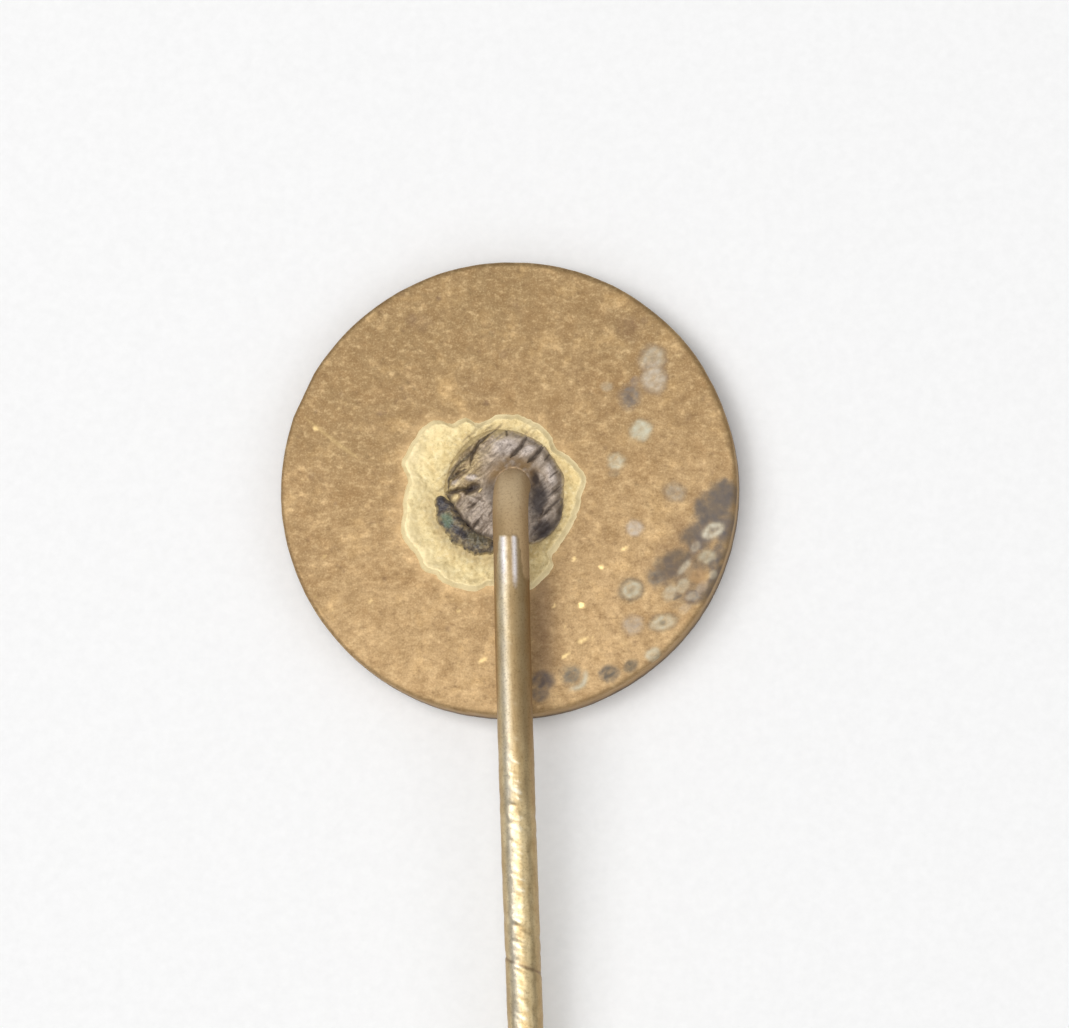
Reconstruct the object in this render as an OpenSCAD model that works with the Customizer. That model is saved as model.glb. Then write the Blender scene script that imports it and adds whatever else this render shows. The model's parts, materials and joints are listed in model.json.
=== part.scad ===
// Tie tack of the stick-pin kind: a struck brass head with one bent wire soldered to its back.
// It lies face down as it rests on a table. The front face is on z = 0, the back of the head
// faces up, and the wire runs towards -Y until its point comes down beside the table.

/* [Head] */
// Diameter of the round brass head
head_d = 13; // [11:0.5:16]
// Thickness of the head, from the front table to the back
head_t = 1.2; // [1:0.1:2]
// Chamfer round the edge of the front and the back
edge_chamfer = 0.08; // [0.04:0.01:0.15]
// Width of the flat rim round the front
rim_w = 0.8; // [0.5:0.1:1.2]
// Width of the sunken border inside the rim
border_w = 0.8; // [0.6:0.1:1.2]
// Depth of the sunken border
border_depth = 0.3; // [0.2:0.05:0.5]
// Number of round beads struck in the border
bead_count = 48; // [24:4:60]
// Diameter of one bead
bead_d = 0.5; // [0.3:0.05:0.55]

/* [Pin wire] */
// Diameter of the wire
wire_d = 1; // [0.8:0.05:1.2]
// Length of the post, from the back of the head to the corner that the bend rounds off
post_l = 1.8; // [1.8:0.1:3]
// Radius of the bend at the crest, on the centreline
bend_r = 1.2; // [1:0.1:1.4]
// Length of the shank, from the corner of the crest to the tip of the point
shank_l = 31.5; // [26:0.5:60]
// Length of the ground point
point_l = 5; // [3:0.5:8]
// Radius left on the tip of the point
tip_r = 0.06; // [0.04:0.01:0.1]
// Sideways lean of the shank, in degrees
shank_lean = 1.2; // [-3:0.1:3]

/* [Solder joint] */
// Thickness of the pool of pale solder on the back of the head
pool_t = 0.14; // [0.08:0.02:0.2]
// Radius of the foot of the grey fillet round the wire
fillet_r = 1.75; // [1.4:0.05:1.8]
// Height of the fillet above the pool
fillet_h = 0.6; // [0.3:0.05:0.7]
// Thickness of the fillet at its foot
fillet_foot = 0.08; // [0.04:0.02:0.12]
// Depth of the shrinkage grooves in the fillet
groove_depth = 0.07; // [0.02:0.01:0.1]
// Height of the ridge of flux beside the fillet
crust_h = 0.2; // [0.12:0.02:0.26]

/* [Hidden] */
$fn = 96;

head_r = head_d / 2;
wire_r = wire_d / 2;
rim_r = head_r - rim_w;
border_mid_r = rim_r - border_w / 2;
table_r = rim_r - border_w;
// A bead stops this far short of the front face, so that it is not worn flat
bead_sink = 0.04;

// Space left under the tip when the head lies flat
tip_clear = 0.04;
tip_z = tip_clear + tip_r;

// The wire is bent square, then soldered with a tilt that brings its tip down to the table
post_at = [0.2, 0];
tip_reach = shank_l - tip_r;
wire_tilt = atan(post_l / tip_reach) + asin((head_t - tip_z) / norm([post_l, tip_reach]));

// The edge of the pool, as it froze: one point for each lobe and hollow, anticlockwise
pool_points = [
    [2.2, 0.1], [1.8, 0.8], [1.2, 1.5], [0.7, 2.0], [-0.1, 2.1], [-0.8, 1.9], [-1.2, 2.0],
    [-1.6, 1.9], [-2.0, 2.0], [-2.5, 1.5], [-3.0, 0.8], [-2.7, 0.3], [-3.0, -0.4],
    [-3.0, -1.2], [-2.6, -1.9], [-2.0, -2.5], [-1.0, -2.9], [-0.1, -2.8], [0.7, -3.0],
    [1.3, -2.3], [1.4, -1.8], [2.0, -0.9], [2.0, -0.3],
];
fillet_at = [-0.2, -0.1];
groove_angles = [18, 43, 66, 95, 128, 160, 316];
groove_w = 0.09;
// Where the ridge of flux runs round the fillet, and the drops along it
crust_from = 194;
crust_sweep = 62;
drop_angles = [0, 17, 36, 62];
drop_oversize = [1.1, 1.25, 1.15, 1.08];
joint_gap = 0.01;
solder_z = head_t + pool_t;

// A closed Catmull-Rom curve through the points, with the given steps from each to the next
function smooth_loop(points, steps) = [
    for (i = [0 : len(points) - 1], s = [0 : steps - 1])
        let (
            n = len(points),
            t = s / steps,
            a = points[(i + n - 1) % n],
            b = points[i],
            c = points[(i + 1) % n],
            d = points[(i + 2) % n]
        )
        (2 * b + (c - a) * t + (2 * a - 5 * b + 4 * c - d) * t * t
            + (3 * b - 3 * c + d - a) * t * t * t) / 2
];

// Section of the head through its axis: chamfered rim, sunken border and flat table
module head_section() {
    polygon([
        [0, 0],
        [table_r, 0],
        [table_r, border_depth],
        [rim_r, border_depth],
        [rim_r, 0],
        [head_r - edge_chamfer, 0],
        [head_r, edge_chamfer],
        [head_r, head_t - edge_chamfer],
        [head_r - edge_chamfer, head_t],
        [0, head_t],
    ]);
}

module bead() {
    sphere(d = bead_d);
}

// The struck head, with its ring of beads in the border
module head_disc() color("peru") {
    rotate_extrude() head_section();
    for (i = [0 : bead_count - 1])
        rotate(i * 360 / bead_count)
            translate([border_mid_r, 0, bead_d / 2 + bead_sink])
                bead();
}

// The place of the wire: its post stands on the back of the head, tilted and turned to -Y
module wire_frame() {
    translate([post_at.x, post_at.y, head_t])
        rotate([0, 0, -90 + shank_lean])
            rotate([0, wire_tilt, 0]) children();
}

// The hole that the post leaves in the solder
module post_hole() {
    wire_frame()
        translate([0, 0, -wire_r]) cylinder(h = post_l, r = wire_r);
}

// The flat pool of pale solder, in two steps so that its edge is stepped down to the head
module solder_pool() color("khaki") {
    lower_t = pool_t * 0.6;
    edge_step = 0.965;
    difference() {
        translate([0, 0, head_t])
            union() {
                linear_extrude(lower_t) polygon(smooth_loop(pool_points, 4));
                linear_extrude(pool_t)
                    scale(edge_step) polygon(smooth_loop(pool_points, 4));
            }
        post_hole();
    }
}

// Height of the fillet's skin at a share u of the way from the wire to its foot
function fillet_skin(u) = fillet_foot + (fillet_h - fillet_foot) * pow(1 - u, 2.6);

module fillet_section() {
    steps = 10;
    polygon([
        [0, 0],
        [fillet_r, 0],
        for (i = [steps : -1 : 0])
            let (u = i / steps)
            [wire_r + (fillet_r - wire_r) * u, fillet_skin(u)],
        [0, fillet_h],
    ]);
}

// One groove, radial from the wire to the foot, that follows the slope of the fillet
module shrinkage_groove() {
    inner = wire_r + 0.35;
    length = fillet_r - inner;
    slope = atan((fillet_skin(0.35) - fillet_foot) / length);
    translate([fillet_r + groove_w / 2, 0, fillet_foot - groove_depth])
        rotate([0, slope, 0])
            translate([-length, -groove_w / 2, 0])
                cube([length, groove_w, fillet_h]);
}

// The oxidised fillet of solder that climbs the post
module solder_fillet() color("dimgray") {
    difference() {
        translate([fillet_at.x, fillet_at.y, solder_z])
            difference() {
                rotate_extrude() fillet_section();
                for (a = groove_angles)
                    rotate(a) shrinkage_groove();
            }
        post_hole();
    }
}

// A drop of flux: half a ball that stands on z = 0
module drop(radius) {
    intersection() {
        sphere(r = radius);
        translate([-radius * 2, -radius * 2, 0])
            cube(radius * 4);
    }
}

// The ridge of glassy flux left against one side of the fillet, run together from drops
module flux_crust() color("darkslategray") {
    mid_r = fillet_r + crust_h * 0.8;
    translate([fillet_at.x, fillet_at.y, solder_z])
        difference() {
            rotate(crust_from)
                union() {
                    rotate_extrude(angle = crust_sweep)
                        translate([mid_r, 0])
                            intersection() {
                                circle(r = crust_h);
                                translate([-crust_h, 0]) square(crust_h * 2);
                            }
                    for (i = [0 : len(drop_angles) - 1])
                        rotate(drop_angles[i])
                            translate([mid_r, 0, 0]) drop(crust_h * drop_oversize[i]);
                }
            translate([0, 0, -crust_h])
                cylinder(h = crust_h * 4, r = fillet_r + joint_gap);
        }
}

// The post stands along +Z and the shank runs along +X, with a quarter turn between them
module square_wire() {
    post_straight = post_l - bend_r;
    foot_allowance = wire_r;
    translate([0, 0, -foot_allowance])
        cylinder(h = post_straight + foot_allowance, r = wire_r);
    translate([bend_r, 0, post_straight])
        rotate([90, 0, 180])
            rotate_extrude(angle = 90)
                translate([bend_r, 0]) circle(r = wire_r);
    translate([bend_r, 0, post_l])
        rotate([0, 90, 0]) {
            barrel_l = shank_l - bend_r - point_l;
            cone_l = point_l - tip_r;
            cylinder(h = barrel_l, r = wire_r);
            translate([0, 0, barrel_l])
                cylinder(h = cone_l, r1 = wire_r, r2 = tip_r);
            translate([0, 0, barrel_l + cone_l])
                sphere(r = tip_r);
        }
}

// One wire: post, crest, shank and ground point, its foot cut flush with the back of the head
module pin_wire() color("darkkhaki") {
    difference() {
        wire_frame() square_wire();
        translate([post_at.x - wire_d, post_at.y - wire_d, head_t - 2 * wire_d])
            cube(2 * wire_d);
    }
}

head_disc();
solder_pool();
solder_fillet();
flux_crust();
pin_wire();
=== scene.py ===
"""A brass stick-pin tie tack lying face down on white paper, seen from above its back."""

import json
import math

import bpy
import numpy as np
from mathutils import Matrix, Vector


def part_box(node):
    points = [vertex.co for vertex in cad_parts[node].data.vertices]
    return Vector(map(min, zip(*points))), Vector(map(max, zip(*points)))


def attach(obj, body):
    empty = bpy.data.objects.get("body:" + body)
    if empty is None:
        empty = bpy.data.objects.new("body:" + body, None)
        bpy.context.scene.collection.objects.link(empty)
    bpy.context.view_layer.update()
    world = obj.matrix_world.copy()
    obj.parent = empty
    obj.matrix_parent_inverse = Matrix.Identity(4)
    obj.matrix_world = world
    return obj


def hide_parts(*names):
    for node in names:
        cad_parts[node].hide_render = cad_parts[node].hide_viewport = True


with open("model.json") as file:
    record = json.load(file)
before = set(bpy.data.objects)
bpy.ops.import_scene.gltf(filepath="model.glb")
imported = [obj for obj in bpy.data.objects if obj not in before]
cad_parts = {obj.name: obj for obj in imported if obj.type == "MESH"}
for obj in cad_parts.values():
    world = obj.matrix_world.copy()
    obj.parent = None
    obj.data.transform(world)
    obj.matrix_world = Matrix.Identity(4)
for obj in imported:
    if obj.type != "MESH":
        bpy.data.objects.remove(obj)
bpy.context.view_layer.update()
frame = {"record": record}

MM = 0.001
TAU = 2 * math.pi


def mm(metres):
    return np.array(metres, float) / MM


# Sizes and places in mm, from the boxes of the CAD solids
head_low, head_high = (mm(corner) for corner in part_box("head_disc"))
fillet_low, fillet_high = (mm(corner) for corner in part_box("solder_fillet"))
HEAD_R = (head_high[0] - head_low[0]) / 2
BACK_Z = head_high[2]
POOL_Z = mm(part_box("solder_pool")[1])[2]
FILLET_AT = (fillet_low[:2] + fillet_high[:2]) / 2
FILLET_R = (fillet_high[0] - fillet_low[0]) / 2

# The front of the head, as in the CAD model
BORDER_OUTER_R, BORDER_INNER_R, BORDER_DEPTH = 5.7, 4.9, 0.3
BEAD_COUNT, BEAD_R, BEAD_H = 48, 0.25, 0.255

# The wire, from the mount on its straight shank and the radius of its bend
BEND_R, POINT_L = 1.2, 5.0
shank = next(m for m in frame["record"]["mounts"] if m["name"] == "shank")
SHANK_MID = mm(shank["pos_m"])
SHANK_DIR = np.array(shank["axis"], float)
SHANK_DIR /= np.linalg.norm(SHANK_DIR)
WIRE_R = shank["dims"]["r_mm"]
BARREL_L = shank["dims"]["length_mm"]
POST_DIR = np.array([0, 0, 1.0]) - SHANK_DIR[2] * SHANK_DIR
POST_DIR /= np.linalg.norm(POST_DIR)
SIDE = np.cross(SHANK_DIR, POST_DIR)
# 1 where SIDE points to +X, and otherwise -1
EAST = 1.0 if SIDE[0] > 0 else -1.0
CORNER = SHANK_MID - SHANK_DIR * (BARREL_L / 2 + BEND_R)
POST_L = (CORNER[2] - BACK_Z) / POST_DIR[2]
FOOT = CORNER - POST_DIR * POST_L

# ---- camera

VIEW_W = 30.2                      # width of the view at the head's back, mm
CAMERA_DISTANCE = 185.0
LEAN_RIGHT, LEAN_DOWN = 5.0, 8.0   # lean of the camera off the vertical, degrees
AIM_RIGHT, AIM_UP = 0.749, -0.751  # from the middle of the head to the camera's aim, mm
SENSOR_W = 36.0


def unit(vector):
    return vector / np.linalg.norm(vector)


def new_object(name, data):
    thing = bpy.data.objects.new(name, data)
    bpy.context.scene.collection.objects.link(thing)
    return thing


def add_camera():
    lean = np.tan(np.radians([LEAN_RIGHT, LEAN_DOWN]))
    back = unit(np.array([lean[0], -lean[1], 1.0]))
    right = unit(np.cross([0, 1, 0], back))
    up = np.cross(back, right)
    aim = np.array([0, 0, BACK_Z]) + right * AIM_RIGHT + up * AIM_UP
    data = bpy.data.cameras.new("camera")
    data.sensor_width = SENSOR_W
    data.lens = SENSOR_W * CAMERA_DISTANCE / VIEW_W
    data.clip_start, data.clip_end = 0.01, 10.0
    camera = new_object("camera", data)
    camera.location = Vector((aim + back * CAMERA_DISTANCE) * MM)
    camera.rotation_mode = "QUATERNION"
    camera.rotation_quaternion = Matrix((right, up, back)).transposed().to_quaternion()
    bpy.context.scene.camera = camera


add_camera()

# ---- noise

random = np.random.RandomState(11)
SHUFFLE = random.permutation(256)
GRADIENTS = random.normal(size=(256, 3))
GRADIENTS /= np.linalg.norm(GRADIENTS, axis=1)[:, None]


def perlin(p):
    """Gradient noise for an N x 3 array, about -1 to 1."""
    cell = np.floor(p).astype(int)
    f = p - cell
    w = f * f * f * (f * (f * 6 - 15) + 10)
    total = np.zeros(len(p))
    for dx in (0, 1):
        wx = w[:, 0] if dx else 1 - w[:, 0]
        for dy in (0, 1):
            wy = w[:, 1] if dy else 1 - w[:, 1]
            for dz in (0, 1):
                wz = w[:, 2] if dz else 1 - w[:, 2]
                h = SHUFFLE[(cell[:, 0] + dx) & 255]
                h = SHUFFLE[(h + cell[:, 1] + dy) & 255]
                h = SHUFFLE[(h + cell[:, 2] + dz) & 255]
                d = f - (dx, dy, dz)
                total += (GRADIENTS[h] * d).sum(1) * wx * wy * wz
    return total * 1.7


def fbm(p, size, octaves, seed):
    """Fractal noise with features of the given size in mm, different for each seed."""
    q = np.asarray(p, float) / size + 37.3 * (seed + 1)
    out, amp, norm = np.zeros(len(q)), 1.0, 0.0
    for k in range(octaves):
        out += amp * perlin(q + 11.7 * k)
        norm += amp
        q = q * 2.03
        amp *= 0.5
    return out / norm


def smooth(a, b, x):
    """A soft step from 0 at a to 1 at b, which may be the lower of the two."""
    t = np.clip((np.asarray(x, float) - a) / (b - a), 0, 1)
    return t * t * (3 - 2 * t)


def bell(x, width):
    """1 where x is 0, fading away over the width on both sides."""
    return np.exp(-((x / width) ** 2))


def flat_points(x, y):
    return np.stack([x, y, 0 * x], 1)


def turned(x, y, degrees):
    """The same place in axes that are turned anticlockwise."""
    c, s = math.cos(math.radians(degrees)), math.sin(math.radians(degrees))
    return x * c + y * s, y * c - x * s


def blob(x, y, cx, cy, rx, ry, turn):
    """Distance from the middle of a turned oval, 1 on its outline."""
    u, v = turned(x - cx, y - cy, turn)
    return np.hypot(u / rx, v / ry)


def patch(x, y, place, ragged, full=0.4, gone=1.2):
    """1 in the middle of a blob and 0 outside, with a soft and ragged edge between."""
    return 1 - smooth(full, gone, blob(x, y, *place) + ragged)


def diagonal_streaks(p, turn, width, seed, length=6.0):
    """Noise drawn out along a direction in the XY plane, about -1 to 1."""
    u, v = turned(p[:, 0], p[:, 1], turn)
    return fbm(np.stack([u / length, v, p[:, 2]], 1), width, 3, seed)


# ---- mesh helpers


def ring_counts(radii, spacing, least=24):
    """How many points each ring has, at the given spacing round it."""
    return [max(least, int(round(TAU * r / step))) for r, step in np.broadcast(radii, spacing)]


def zipper(start_a, n_a, start_b, n_b):
    """Triangles between two rings of different counts, anticlockwise seen from +Z if a is inner."""
    tris, i, j = [], 0, 0
    while i < n_a or j < n_b:
        if i < n_a and (j >= n_b or (i + 1) / n_a <= (j + 1) / n_b):
            tri = (start_a + i % n_a, start_b + j % n_b, start_a + (i + 1) % n_a)
            i += 1
        else:
            tri = (start_a + i % n_a, start_b + j % n_b, start_b + (j + 1) % n_b)
            j += 1
        tris.append(tri)
    return tris


def rings(counts):
    """Angles, ring index and triangles of a stack of closed rings, with a fan at both ends."""
    angle, index, tris, start = [], [], [], 0
    starts = []
    for k, n in enumerate(counts):
        angle.append(np.arange(n) * TAU / n)
        index.append(np.full(n, k))
        starts.append(start)
        start += n
    for k in range(len(counts) - 1):
        tris += zipper(starts[k], counts[k], starts[k + 1], counts[k + 1])
    first, last = start, start + 1
    n0, n1, s1 = counts[0], counts[-1], starts[-1]
    tris += [(first, i, (i + 1) % n0) for i in range(n0)]
    tris += [(last, s1 + (i + 1) % n1, s1 + i) for i in range(n1)]
    return np.concatenate(angle), np.concatenate(index), tris


def tube_faces(rows, around):
    """Quads between the rows of points of a tube, and one face over each end."""
    faces = []
    for i in range(rows - 1):
        for j in range(around):
            k = (j + 1) % around
            faces.append((i * around + j, i * around + k, (i + 1) * around + k, (i + 1) * around + j))
    first, last = tuple(range(around)), tuple(range((rows - 1) * around, rows * around))
    return faces + [first[::-1], last]


def clipped(masks):
    return {key: np.clip(values, 0, 1) for key, values in masks.items()}


def make_piece(name, points, faces, masks, material, node, slot):
    """One finished piece from points in mm. Its masks are read by its material."""
    mesh = bpy.data.meshes.new(name)
    mesh.from_pydata((points * MM).tolist(), [], faces)
    mesh.update()
    mesh.polygons.foreach_set("use_smooth", [True] * len(mesh.polygons))
    for key, values in masks.items():
        # a ring mesh has two more points, in the middle of its two fans, where every mask is 0
        filled = np.zeros(len(points), np.float32)
        filled[: len(values)] = values
        mesh.attributes.new(key, "FLOAT", "POINT").data.foreach_set("value", filled)
    mesh.materials.append(material)
    piece = new_object(name, mesh)
    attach(piece, "root")
    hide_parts(node)


# ---- material helpers


class Nodes:
    """A material's node tree, with the colour and the normal that its layers have come to."""

    def __init__(self, name):
        self.material = bpy.data.materials.new(name)
        self.material.use_nodes = True
        self.tree = self.material.node_tree
        self.tree.nodes.clear()
        self.place = self.add("TexCoord").outputs["Object"]
        self.colour = self.normal = None

    def add(self, kind, sockets=None, **settings):
        """A new node, with a number, a colour or another node's output put into each named input."""
        node = self.tree.nodes.new("ShaderNode" + kind)
        for key, value in settings.items():
            setattr(node, key, value)
        for key, value in (sockets or {}).items():
            socket = node.inputs[key]
            if isinstance(value, bpy.types.NodeSocket):
                self.tree.links.new(value, socket)
            else:
                socket.default_value = linear(value) if socket.type == "RGBA" else value
        return node

    def mask(self, name, strength=1):
        """One of the mesh's own masks."""
        mask = self.add("Attribute", attribute_name=name).outputs["Fac"]
        return mask if strength == 1 else self.math("MULTIPLY", mask, strength)

    def noise(self, size_mm, detail, rough, seed, stretch=(1, 1, 1)):
        """Noise from 0 to 1 with features of the given size."""
        moved = (seed * 0.013, seed * 0.007, seed * 0.011)
        scale = tuple(1.0 / (size_mm * MM * s) for s in stretch)
        mapping = self.add("Mapping", {"Vector": self.place, "Location": moved, "Scale": scale})
        sockets = {"Vector": mapping.outputs["Vector"], "Scale": 1, "Detail": detail, "Roughness": rough}
        return self.add("TexNoise", sockets).outputs["Fac"]

    def math(self, op, a, b, clamp=False):
        return self.add("Math", {0: a, 1: b}, operation=op, use_clamp=clamp).outputs[0]

    def remap(self, x, low, high, to_low=0, to_high=1):
        sockets = {"Value": x, "From Min": low, "From Max": high, "To Min": to_low, "To Max": to_high}
        return self.add("MapRange", sockets, clamp=True).outputs["Result"]

    def mix(self, share, a, b):
        return self.add("Mix", {0: share, 6: a, 7: b}, data_type="RGBA").outputs[2]

    def ramp(self, x, *stops):
        node = self.add("ValToRGB", {"Fac": x})
        elements = node.color_ramp.elements
        while len(elements) < len(stops):
            elements.new(0.5)
        for element, (position, colour) in zip(elements, stops):
            element.position = position
            element.color = linear(colour)
        return node.outputs["Color"]

    def coat(self, name, strength, colour):
        """A layer of another colour, as strong as the mesh's mask says."""
        self.colour = self.mix(self.mask(name, strength), self.colour, colour)

    def mottle(self, noise, start, full, strength, colour):
        """A layer of another colour where the noise goes from start to full."""
        self.colour = self.mix(self.remap(noise, start, full, 0, strength), self.colour, colour)

    def bump(self, height, strength, distance_mm):
        sockets = {"Height": height, "Strength": strength, "Distance": distance_mm * MM}
        if self.normal:
            sockets["Normal"] = self.normal
        self.normal = self.add("Bump", sockets).outputs["Normal"]

    def surface(self, rough, metal):
        """The finished material."""
        sockets = {"Base Color": self.colour, "Roughness": rough, "Metallic": metal, "Normal": self.normal}
        shader = self.add("BsdfPrincipled", sockets).outputs["BSDF"]
        self.add("OutputMaterial", {"Surface": shader})
        return self.material


def linear(colour):
    """A display colour of 0 to 255 as a socket's linear colour."""
    shares = (value / 255 for value in colour)
    return (*(c / 12.92 if c <= 0.04045 else ((c + 0.055) / 1.055) ** 2.4 for c in shares), 1.0)


# ---- outlines

POOL_CENTRE = np.array([-0.4, -0.35])
POOL_EDGE = (
    (2.2, 0.0), (2.2, 0.3), (2.0, 0.6), (1.7, 0.9), (1.35, 1.15), (1.2, 1.5), (0.9, 1.8), (0.5, 2.0),
    (0.1, 2.1), (-0.3, 2.1), (-0.6, 1.95), (-0.9, 1.85), (-1.2, 2.0), (-1.6, 1.85), (-2.05, 1.95),
    (-2.5, 1.7), (-2.65, 1.45), (-2.8, 1.2), (-2.95, 0.95), (-3.03, 0.7), (-2.96, 0.5), (-2.84, 0.3),
    (-2.88, 0.05), (-2.98, -0.25), (-3.0, -0.7), (-3.05, -1.15), (-2.95, -1.5), (-2.7, -1.8), (-2.55, -2.05),
    (-2.4, -2.35), (-2.05, -2.5), (-1.75, -2.75), (-1.3, -2.9), (-0.9, -2.95), (-0.5, -2.8), (0.0, -2.85),
    (0.6, -2.95), (0.9, -2.75), (1.15, -2.5), (1.3, -2.25), (1.25, -2.0), (1.45, -1.7), (1.75, -1.25),
    (2.0, -0.7), (2.1, -0.2),
)


def loop_radius(points, centre, angle):
    """Radius about a centre of the closed Catmull-Rom curve through the points."""
    pts = np.array(points) - centre
    n, steps = len(pts), 12
    curve = []
    for i in range(n):
        a, b, c, d = (pts[(i + k) % n] for k in (-1, 0, 1, 2))
        for t in np.arange(steps) / steps:
            squared = (2 * a - 5 * b + 4 * c - d) * t**2
            cubed = (3 * b - 3 * c + d - a) * t**3
            curve.append((2 * b + (c - a) * t + squared + cubed) / 2)
    curve = np.array(curve)
    ang = np.unwrap(np.arctan2(curve[:, 1], curve[:, 0]))
    rad = np.hypot(curve[:, 0], curve[:, 1])
    order = np.argsort(ang % TAU)
    return np.interp(angle % TAU, (ang % TAU)[order], rad[order], period=TAU)


def beyond_loop(x, y, points, centre):
    """How far outside the closed curve each place is, measured from its centre."""
    outward = np.hypot(x - centre[0], y - centre[1])
    return outward - loop_radius(points, centre, np.arctan2(y - centre[1], x - centre[0]))


# ---- head

def head_radius(angle):
    """Outline of the hand-cut disc: nearly round, with a few slight flats."""
    circle = flat_points(np.cos(angle), np.sin(angle)) * HEAD_R
    r = HEAD_R - 0.02 + 0.018 * fbm(circle, 2.6, 3, 3) + 0.006 * fbm(circle, 0.4, 2, 4)
    for at, inset in ((155, 0.05), (133, 0.015), (28, 0.03), (262, 0.03), (75, 0.02)):
        facing = np.cos(angle - math.radians(at))
        r = np.where(facing > 0.5, np.minimum(r, (HEAD_R - inset) / np.maximum(facing, 0.5)), r)
    return r


# Blooms and stains on the back, in mm from the centre:
# (x, y, long radius, short radius, turn, pale fill, pale ring, dark eye, dark fill, dark rim, lilac)
MARKS = (
    (4.1, 3.6, 0.35, 0.32, 60, 0.28, 0.3, 0.35, 0.2, 0.3, 0.5),
    (4.15, 3.05, 0.36, 0.31, 100, 0.45, 0.2, 0, 0.1, 0.3, 0.8),
    (3.46, 2.56, 0.32, 0.26, 80, 0, 0.12, 0.2, 0.85, 0.3, 0.7),
    (3.58, 2.98, 0.17, 0.13, 70, 0.1, 0, 0, 0.4, 0, 1),
    (3.76, 1.58, 0.31, 0.28, 30, 0.72, 0.1, 0, 0, 0.15, 0),
    (3.07, 0.7, 0.24, 0.22, 0, 0.45, 0.1, 0, 0, 0.15, 0),
    (3.0, 0.36, 0.17, 0.11, 0, 0, 0, 0, 0.4, 0, 0.3),
    (2.8, 2.85, 0.17, 0.13, 0, 0.25, 0, 0, 0, 0, 0.3),
    (4.73, -0.2, 0.27, 0.23, -20, 0.15, 0.15, 0.1, 0.38, 0.3, 0.6),
    (3.58, -1.2, 0.23, 0.21, 0, 0.62, 0.15, 0, 0, 0.12, 1),
    (5.8, -1.3, 0.35, 0.2, 28, 0.15, 0.7, 0.8, 0.2, 0.3, 0.4),
    (3.49, -2.95, 0.3, 0.25, 35, 0.25, 0.35, 0.6, 0.3, 0.5, 0.1),
    (3.52, -3.95, 0.26, 0.25, 0, 0.25, 0.1, 0, 0.4, 0.2, 0.9),
    (4.38, -3.88, 0.34, 0.2, 14, 0.2, 0.4, 0.75, 0.25, 0.35, 0.1),
    (4.1, -4.8, 0.21, 0.19, 20, 0.55, 0.1, 0, 0, 0.1, 0),
    (3.47, -5.12, 0.22, 0.18, 30, 0, 0, 0.1, 0.8, 0, 0),
    (2.86, -5.32, 0.29, 0.24, 10, 0, 0, 0.3, 0.9, 0, 0.2),
    (1.8, -5.35, 0.29, 0.26, 0, 0.05, 0.1, 0.3, 0.8, 0.2, 0.2),
    (1, -5.5, 0.33, 0.28, 0, 0, 0, 0.2, 0.9, 0, 0.8),
    (0.9, -5.88, 0.27, 0.22, 0, 0.05, 0, 0, 0.75, 0, 0.8),
    (4.17, -2.6, 0.25, 0.23, 0, 0, 0.12, 0.3, 0.8, 0.2, 0.4),
    (4.5, -2.4, 0.28, 0.22, 40, 0, 0, 0, 0.8, 0, 0.4),
    (4.97, -2.35, 0.26, 0.09, 52, 0.42, 0, 0, 0, 0.2, 0.4),
    (4.6, -3.05, 0.24, 0.17, 50, 0.36, 0.1, 0.1, 0, 0.2, 0.2),
    (4.93, -2.85, 0.24, 0.15, 50, 0.3, 0.1, 0, 0, 0.2, 0.2),
    (5.22, -3.15, 0.2, 0.13, 20, 0.32, 0, 0, 0, 0.2, 0.6),
    (5.48, -2.9, 0.22, 0.13, 50, 0.28, 0, 0, 0, 0, 0.9),
    (5.0, -3.5, 0.2, 0.12, 30, 0.2, 0, 0, 0, 0, 0.8),
    (5.62, -2.05, 0.25, 0.18, 20, 0.3, 0.1, 0.3, 0.2, 0.4, 0),
    (5.8, -2.55, 0.14, 0.11, 60, 0.42, 0, 0, 0, 0.2, 0.3),
    (5.3, -1.75, 0.18, 0.12, 60, 0.22, 0.1, 0, 0.1, 0.2, 0.6),
)
# Dark hairlines in the stained part, each through a few points
HAIRLINES = (
    ((5.15, -3.3), (5.35, -3.18), (5.55, -3.25)),
    ((5.35, -3.18), (5.3, -3.0)),
    ((4.65, -3.25), (4.95, -3.1)),
)
# The pale crescent at the lower right of one stain: x, y and radius
CRESCENT = (1.84, -5.38, 0.36)
# Brown smudges and pits: (x, y, radius, strength)
SMUDGES = (
    (3.45, 4.5, 0.4, 0.5), (3.35, 4.7, 0.1, 0.5), (3.85, 4.72, 0.12, 0.45), (-2.72, 4.85, 0.2, 0.6),
    (-2.45, 4.7, 0.35, 0.25), (-1.98, 5.45, 0.08, 0.8), (-3.06, 5.6, 0.14, 0.4), (-3.66, 2.15, 0.09, 0.7),
    (-0.63, 2.42, 0.1, 0.65), (-4.76, 2.75, 0.06, 0.5), (-0.13, 3.82, 0.14, 0.4), (0.23, 5.2, 0.1, 0.4),
    (2.77, 1.1, 0.06, 0.5), (-4.9, -0.4, 0.07, 0.5), (-1.7, -4.0, 0.1, 0.5), (5.1, 1.9, 0.12, 0.35),
    (4.95, -1.35, 0.5, 0.3), (4.4, -1.8, 0.35, 0.3), (3.95, -2.2, 0.25, 0.2), (5.4, -0.4, 0.35, 0.3),
    (5.5, 0.6, 0.09, 0.4), (-3.5, -2.6, 0.07, 0.45), (1.9, 3.4, 0.35, 0.15), (-5.6, 0.4, 0.1, 0.3),
)
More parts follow.
